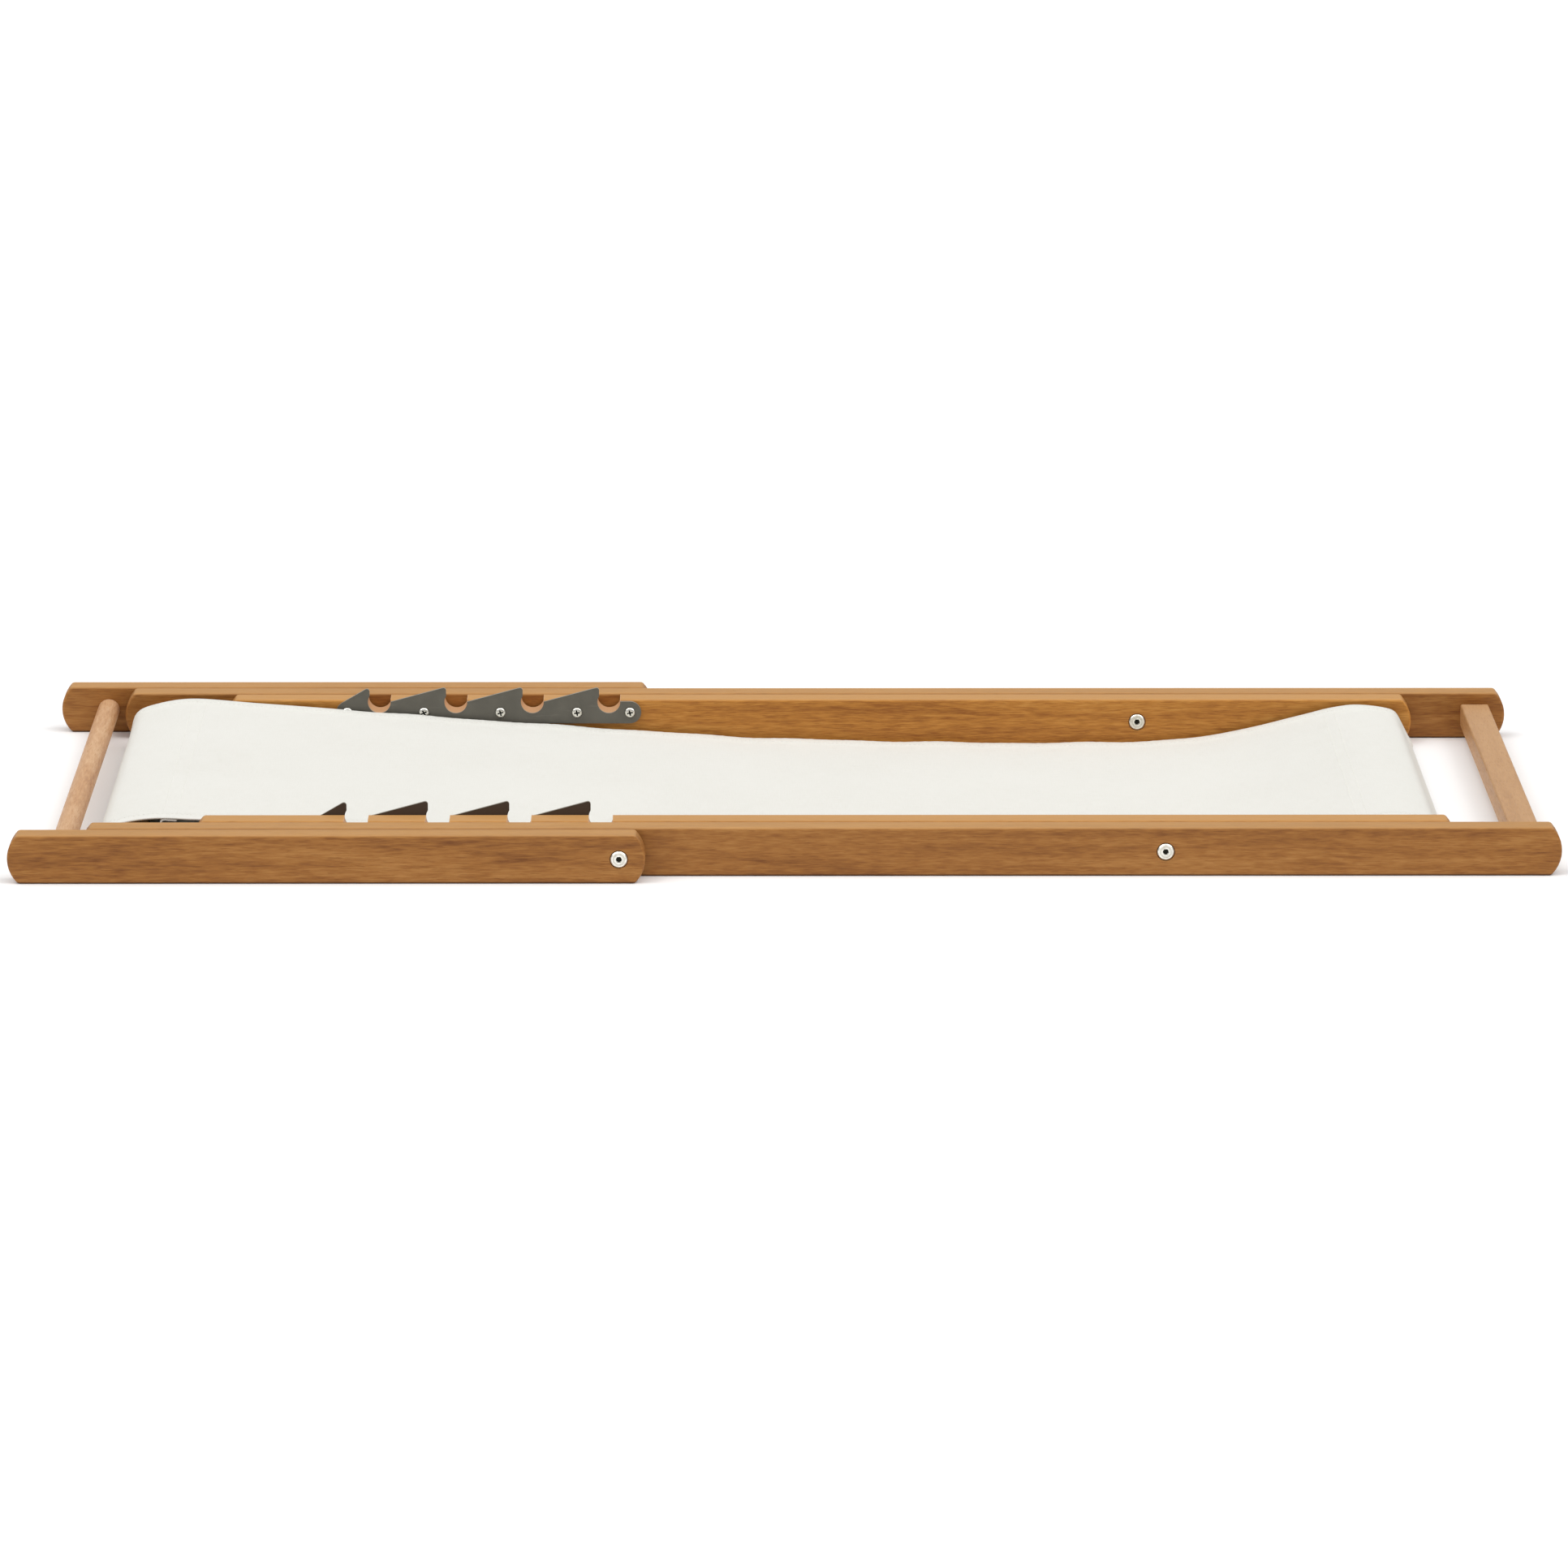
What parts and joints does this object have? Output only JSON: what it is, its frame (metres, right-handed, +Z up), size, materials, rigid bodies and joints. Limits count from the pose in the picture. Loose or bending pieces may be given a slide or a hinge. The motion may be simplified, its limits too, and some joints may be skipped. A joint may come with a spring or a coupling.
{
  "type": "folding sling deck chair",
  "caption": "Folding wooden deck chair lying folded flat: nested rail frames on bolted pivots, a canvas sling between round bars, and a prop dowel that drops into hooked steel racks.",
  "frame": {"origin": "on the floor, at the middle of the folded chair's outline", "axes": "+X along the chair towards the foot end, +Y to the sitter's left, +Z up"},
  "size_m": [1.3341, 0.5716, 0.0545],
  "materials": {
    "oiled_hardwood": "oiled, satin",
    "turned_hardwood": "oiled, satin",
    "dark_plate_steel": "dark grey coated steel",
    "zinc_steel": "bright zinc plated",
    "washer_nylon": "plain nylon",
    "canvas": "off-white plain-weave cotton canvas"
  },
  "bodies": {
    "seat_frame": {"seat_rail_left": "oiled_hardwood", "seat_rail_right": "oiled_hardwood", "rack_plate_left": "dark_plate_steel", "rack_plate_right": "dark_plate_steel", "rack_screws_left": "zinc_steel", "rack_screws_right": "zinc_steel", "knee_bar": "turned_hardwood", "rear_crossbar": "oiled_hardwood", "sling": "canvas"},
    "back_frame": {"back_rail_left": "oiled_hardwood", "back_rail_right": "oiled_hardwood", "main_pivot_sleeve_left": "zinc_steel", "main_pivot_sleeve_right": "zinc_steel", "main_pivot_bolt_left": "zinc_steel", "main_pivot_bolt_right": "zinc_steel", "main_pivot_washer_left": "washer_nylon", "main_pivot_washer_right": "washer_nylon", "prop_pivot_sleeve_left": "zinc_steel", "prop_pivot_sleeve_right": "zinc_steel", "prop_pivot_bolt_left": "zinc_steel", "prop_pivot_bolt_right": "zinc_steel", "prop_pivot_washer_left": "washer_nylon", "prop_pivot_washer_right": "washer_nylon", "head_bar": "turned_hardwood", "foot_crossbar": "oiled_hardwood"},
    "prop_frame": {"prop_rail_left": "oiled_hardwood", "prop_rail_right": "oiled_hardwood", "prop_dowel": "turned_hardwood"}
  },
  "joints": [
    {"name": "back_fold", "type": "hinge", "parent": "seat_frame", "child": "back_frame", "pos_m": [0.32605, 0, 0.0215], "axis": [0, 1, 0], "range_deg": [0, 62.54], "deforming": ["sling"]},
    {"name": "prop_swing", "type": "hinge", "parent": "back_frame", "child": "prop_frame", "pos_m": [-0.14355, 0, 0.0215], "axis": [0, -1, 0], "range_deg": [0, 118.39]}
  ]
}
